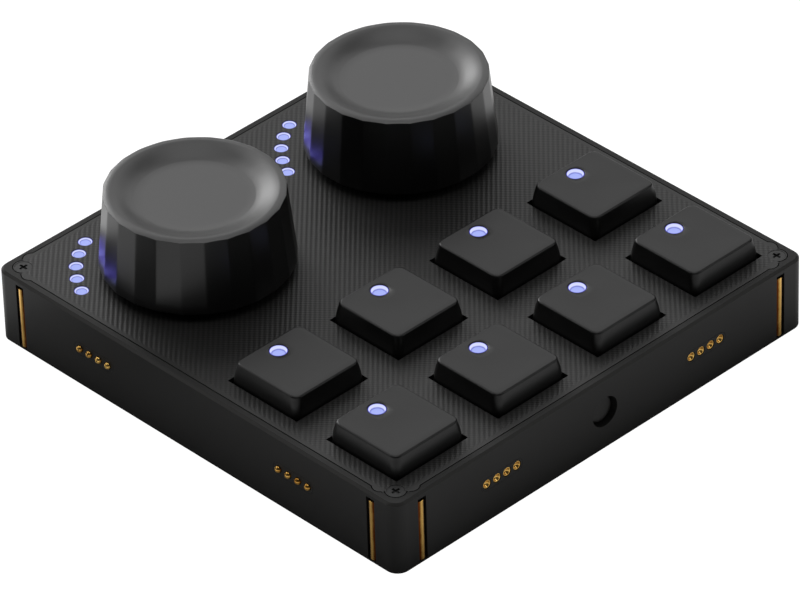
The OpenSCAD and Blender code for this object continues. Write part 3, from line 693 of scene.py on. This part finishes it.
knobShape = {
    "flats": 24, "footRadius": 18.6, "topRadius": 17.05, "height": 15.4, "lipRadius": 2.8,
    "lipMiddle": 15.75, "ease": 0.35, "dishRadius": 11.2, "dishDepth": 1.6, "softness": 500.0,
    "wall": 2.4, "roof": 3.0, "hub": 5.2, "bore": 3.02, "boreDepth": 0.5, "footEdge": (0.15, 0.04),
}
knobSteps = {
    # heights of the rows on the flats, and a radius beyond the flats, which leaves them alone
    "flatRows": (0.0, 0.12, 0.3, 2, 5, 8, 11, 13.2, 14.0, 14.6, 14.85, 14.95, 15.0), "beyond": 99,
    # columns over one flat, as shares of it, closer near its two edges
    "nearEdges": (0.41, 0.45, 0.475), "middle": (-0.3, 0.3, 3),
}


# Radius of a many-sided outline in each direction: the flats' distances are joined by
# a high power mean, which leaves each corner slightly round.
def flatsRadius(angle, flats, apothem, softness):
    step = 2 * np.pi / flats
    offset = (angle + step / 2) % step - step / 2
    near = np.stack([np.cos(offset - step), np.cos(offset), np.cos(offset + step)])
    return apothem / (near ** softness).sum(0) ** (1 / softness)


# Section of the knob's outside as (radius, height): the flats' rows, the lip's arc,
# a slope eased at both ends, which falls by t - ease sin(2 pi t) / (2 pi), and the
# dish's flat middle.
def knobSection(s):
    outer = [(knobSteps["beyond"], z) for z in knobSteps["flatRows"]]
    arcZ = s["height"] - s["lipRadius"]
    lip = [arc(s["lipMiddle"], arcZ, s["lipRadius"], *run)
           for run in ((60, 67, 10), (68.5, 90, 12))]
    t = np.linspace(0, 1, 22)[1:]
    eased = t - s["ease"] * np.sin(2 * np.pi * t) / (2 * np.pi)
    slope = np.stack([s["lipMiddle"] + (s["dishRadius"] - s["lipMiddle"]) * t,
                      s["height"] - s["dishDepth"] * eased], -1)
    dishTop = s["height"] - s["dishDepth"]
    flat = [(s["dishRadius"] * share, dishTop) for share in (0.85, 0.6, 0.3, 0.0)]
    return np.concatenate([outer, *lip, slope, flat])


# Section of the knob's inside: wall, roof, hub and bore, from the foot inwards.
def knobInside(s, cosHalf):
    wall = s["topRadius"] * cosHalf - s["wall"]
    roof = s["height"] - s["dishDepth"] - s["roof"]
    end = roof + s["boreDepth"]
    hub, bore = s["hub"], s["bore"]
    return np.array([(wall, 0.0), (wall, roof), (hub, roof), (hub, 0.1), (hub - 0.1, 0.0),
                     (bore + 0.2, 0.0), (bore, 0.2), (bore, end), (0, end)])


# Each point takes the smaller of the tapered flats' radius and the turned section's
# radius, which leaves a crisp edge where the flats meet the lip.
def makeKnob(side):
    s = knobShape
    centre, foot, _ = boxOf(f"knob_{side}")
    step = 2 * np.pi / s["flats"]
    edges = np.array(knobSteps["nearEdges"])
    share = np.concatenate([[-0.5], -edges[::-1], np.linspace(*knobSteps["middle"]), edges])
    angle = (np.arange(s["flats"])[:, None] * step + share[None] * step).ravel()
    cosHalf = math.cos(step / 2)
    section = knobSection(s)
    narrowing = (s["topRadius"] - s["footRadius"]) * section[:, 1] / s["height"]
    taper = (s["footRadius"] + narrowing) * cosHalf
    taper[:2] -= s["footEdge"]
    sides = np.stack([flatsRadius(angle, s["flats"], t, s["softness"]) for t in taper])
    inside = knobInside(s, cosHalf)[::-1]
    radius = np.concatenate([np.repeat(inside[:, :1], len(angle), 1),
                             np.minimum(sides, section[:, :1])])
    z = np.repeat(np.concatenate([inside, section])[:, 1:], len(angle), 1)
    satin = np.concatenate([np.zeros((len(inside), len(angle))), section[:, :1] < sides]).ravel()
    rows = np.stack([centre[0] + radius * np.cos(angle), centre[1] + radius * np.sin(angle),
                     foot + z], -1)
    mesh = meshFromGrids(f"knob_{side}_skin", [(rows, False)], sharp=30, shares=satin)
    addPiece(f"knob_{side}_skin", mesh, "knob", f"knob_{side}_turning", [f"knob_{side}"])


for side in ("left", "right"):
    makeKnob(side)
print("stage: knobs")

# sprung pins and contact cups; "reach" is how far out of the middle they end
contactShape = {"pitch": 2.54, "count": 4, "offset": 26.45, "around": 32}
pinShape = {"radius": 0.75, "length": 4.8, "edge": 0.1, "reach": 53.7}
cupShape = {
    "radius": 0.95, "length": 4.0, "reach": 53.0,
    "dimpleEdge": 0.28, "dimpleDepth": 0.62, "dimpleRise": 0.5, "dimplePower": 2.2,
}
quarterTurns = {"front": 0, "right": 1, "rear": 2, "left": 3}


# One group of contacts in a face: a turned profile (radius, depth into the face), laid
# on its side at each place along the face.
def contactGroup(profile, face, side, height, reach):
    c = contactShape
    turned = lathe(profile, (0, 0, 0), c["around"])
    turn = quarterTurns[face] * math.pi / 2
    grids = []
    for along in side * c["offset"] + (np.arange(c["count"]) - (c["count"] - 1) / 2) * c["pitch"]:
        x, y, z = along + turned[..., 0], -reach + turned[..., 2], height + turned[..., 1]
        grids.append((np.stack([x * math.cos(turn) - y * math.sin(turn),
                                x * math.sin(turn) + y * math.cos(turn), z], -1), False))
    return grids


# A piece of one or more groups, each (face, side), at the height of the node it replaces.
def contactPiece(name, node, shape, profile, groups):
    low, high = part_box(node)
    height = (low.z + high.z) / 2 / mm
    grids = [grid for face, side in groups
             for grid in contactGroup(profile, face, side, height, shape["reach"])]
    mesh = meshFromGrids(name, grids, sharp=50)
    addPiece(name, mesh, "gold", bodyOf[node], [node])


# Pin: a quarter circle turned into a dome, then straight to its end.
def pinProfile(s):
    a, r = np.radians(np.linspace(0, 90, 9)), s["radius"]
    dome = np.stack([r * np.sin(a), r * (1 - np.cos(a))], -1)
    return np.concatenate([dome, [(r, s["length"] - s["edge"]), (r - s["edge"], s["length"]),
                                  (0, s["length"])]])


# Cup: a dimple whose depth is dimpleDepth - dimpleRise t^dimplePower from its middle
# out, then the rim and the straight shank.
def cupProfile(s):
    t, r = np.linspace(0, 1, 8), s["radius"]
    dimple = np.stack([t * (r - s["dimpleEdge"]),
                       s["dimpleDepth"] - s["dimpleRise"] * t ** s["dimplePower"]], -1)
    return np.concatenate([dimple, [(r - 0.16, 0.06), (r - 0.05, 0.1), (r, 0.2),
                                    (r, s["length"]), (0, s["length"])]])


for node, face, side in (("side_pins_front", "left", 1), ("side_pins_rear", "left", -1),
                         ("rear_pins_left", "rear", 1), ("rear_pins_right", "rear", -1)):
    contactPiece(node + "_tips", node, pinShape, pinProfile(pinShape), [(face, side)])
contactPiece("contact_cups_turned", "contact_cups", cupShape, cupProfile(cupShape),
             [(face, side) for face in ("front", "right") for side in (-1, 1)])
print("stage: contacts")

# finishes for the nodes that keep their CAD shape, by the start of their name
carried = {
    "circuit_board": "board", "board_chips": "chip", "encoder_body": "steel",
    "button_switch": "block", "switch_housings": "block", "key_plunger": "plunger",
    "encoder_shaft": "steel", "encoder_pusher": "plunger",
}
for name, node in nodes.items():
    for start, finish in carried.items():
        if name.startswith(start):
            node.data.materials.clear()
            node.data.materials.append(finishes[finish].material)
print("stage: carried nodes")

# Return springs: each is copied to ride with its key; how far it would close up, the key's
# travel over the spring's height, is worked out but not applied to the coil.
travelOf = {joint["name"]: max(abs(end) for end in joint["range_m"])
            for joint in frame["joints"] if "range_m" in joint}
for n in range(1, 9):
    node = nodes[f"key_spring_{n}"]
    low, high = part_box(node.name)
    coil = addPiece(f"key_spring_{n}_coil", node.data.copy(), "steel", f"key_{n}", [node.name])
    left = 1 - travelOf[f"key_{n}_press"] / (high.z - low.z)
    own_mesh(coil)
print("stage: springs")

studio = {
    "world": 0.05,
    "floor": {"tone": 0.60, "rough": 0.9, "size": 3000, "drop": 0.02, "shown": 0.82,
              "strength": 1.3},
    # Light from the paper round the object: for each side, how far out it begins and how
    # wide it fades in, then its share. The rear side's is brighter over a stretch in X.
    # The painted dark patch, black floor seen only in reflections and light, runs along Y from the first of its
    # values to its second, from its third value outwards on the left.
    "glow": {"left": (70, 12), "front": (54, 26), "right": (54, 10), "rear": (54, 10), "share": 0.5,
             "rearFadeIn": (-72, -62), "rearFadeOut": (-30, -15), "rearShare": 0.95,
             "paintedDark": (19, 45, 64), "darkFades": (3, 4)},
    "arcGlow": {"width": 3.0, "length": 17.0, "height": 16.5, "color": (0.14, 0.09, 1.0),
                "watts": 2.3e-4},
    "aim": (0, 0, 0.015),  # what the lamps look at, in metres
    "lamps": {
        # name: (place, width, height, watts), in metres
        "backdrop": ((0.90, 0.95, 0.95), 2.2, 1.1, 7.0),
        "leftPanel": ((0.27, 1.36, 0.56), 0.7, 0.6, 5.8),
        "window": ((-0.05, 0.80, 0.70), 0.5, 0.5, 1.2),
        "overhead": ((0.0, 0.0, 1.1), 0.8, 0.8, 2.3),
        "sideLeft": ((-0.87, 0.83, 0.87), 0.6, 0.6, 1.4),
        "sideRight": ((0.83, -0.87, 0.87), 0.6, 0.6, 1.4),
    },
}


# White paper. The camera sees it plain white; reflections and light also get a glow
# from it, by the largest of the distances past four sides, each over its fade. A painted
# dark patch on it, which the camera doesn't see, puts a painted dark reflection in one flat of the left knob.
def makeFloor(values, glow):
    half = values["size"] / 2 * mm
    mesh = bpy.data.meshes.new("floor")
    corners = [(x * half, y * half, -values["drop"] * mm)
               for x, y in ((-1, -1), (1, -1), (1, 1), (-1, 1))]
    mesh.from_pydata(corners, [], [(0, 1, 2, 3)])
    floor = newObject("floor", mesh)
    f = Finish("floorPaper", **{"Roughness": values["rough"], "Base Color": gray(values["tone"]),
                                "Specular IOR Level": 0.0})
    seen = f.seen()
    x, y = f.axis("X"), f.axis("Y")
    sides = {"left": x * -1.0, "front": y * -1.0, "right": x, "rear": y}
    past = {side: (distance - glow[side][0]) / glow[side][1] for side, distance in sides.items()}
    around = past["left"].largest(past["front"], past["right"], past["rear"]).between(0.0, 1.0)
    rear = (past["rear"].between(0.0, 1.0) * x.between(*glow["rearFadeIn"])
            * (1.0 - x.between(*glow["rearFadeOut"])) * glow["rearShare"])
    # painted dark reflection: a black patch of floor that only reflections and light see
    near, far, out = glow["paintedDark"]
    ends, edge = glow["darkFades"]
    paintedDark = (y.between(near, near + ends) * (1.0 - y.between(far, far + ends))
            * sides["left"].between(out, out + edge) * (1.0 - seen))
    share = seen * values["shown"] + (1.0 - seen) * (around * glow["share"]).largest(rear)
    light = f.node("ShaderNodeEmission", {}, {
        "Color": white, "Strength": (1.0 - paintedDark) * values["strength"]})
    f.show("OUTPUT_MATERIAL", f.mixShaders(
        share.largest(paintedDark), Wire(f.tree, f.shader.outputs[0]), light))
    mesh.materials.append(f.material)


# White to the camera, a faint even light to everything else.
def makeWorld(strength):
    world = bpy.data.worlds.new("softWorld")
    bpy.context.scene.world = world
    world.use_nodes = True
    g = Graph(world.node_tree)
    light, backdrop = (g.node("ShaderNodeBackground", {}, {"Color": white, "Strength": s})
                       for s in (strength, 1.0))
    g.show("OUTPUT_WORLD", g.mixShaders(g.seen(), light, backdrop))


# a soft rectangle of light
def areaLamp(name, width, height, watts):
    data = bpy.data.lights.new(name, "AREA")
    data.shape, data.size, data.size_y, data.energy = "RECTANGLE", width, height, watts
    return newObject(name, data)


def makeLamp(name, place, width, height, watts):
    lamp = areaLamp(name, width, height, watts)
    lamp.location = place
    lamp.rotation_mode = "QUATERNION"
    lamp.rotation_quaternion = (Vector(place) - Vector(studio["aim"])).to_track_quat("Z", "Y")


# Blue-violet lamp just over each arc of lights, unseen by the camera, which stands for
# their reflection in the knob; it faces down, along the arc's middle.
def makeArcGlow(name, sign, values):
    v = lightArc
    angle = math.radians(v["first"] + v["step"] * (v["count"] - 1) / 2)
    lamp = areaLamp(name, values["width"] * mm, values["length"] * mm, values["watts"])
    lamp.data.color = values["color"]
    lamp.location = Vector((sign * v["knobX"] + v["radius"] * math.cos(angle),
                            v["knobY"] + v["radius"] * math.sin(angle), values["height"])) * mm
    lamp.rotation_euler = (math.pi, 0, angle)
    lamp.visible_camera = False


makeFloor(studio["floor"], studio["glow"])
makeWorld(studio["world"])
for name, sign in (("arcGlowLeft", -1), ("arcGlowRight", 1)):
    makeArcGlow(name, sign, studio["arcGlow"])
for name, lamp in studio["lamps"].items():
    makeLamp(name, *lamp)
bpy.context.scene.view_settings.view_transform = "Standard"
print("stage: floor and lamps")
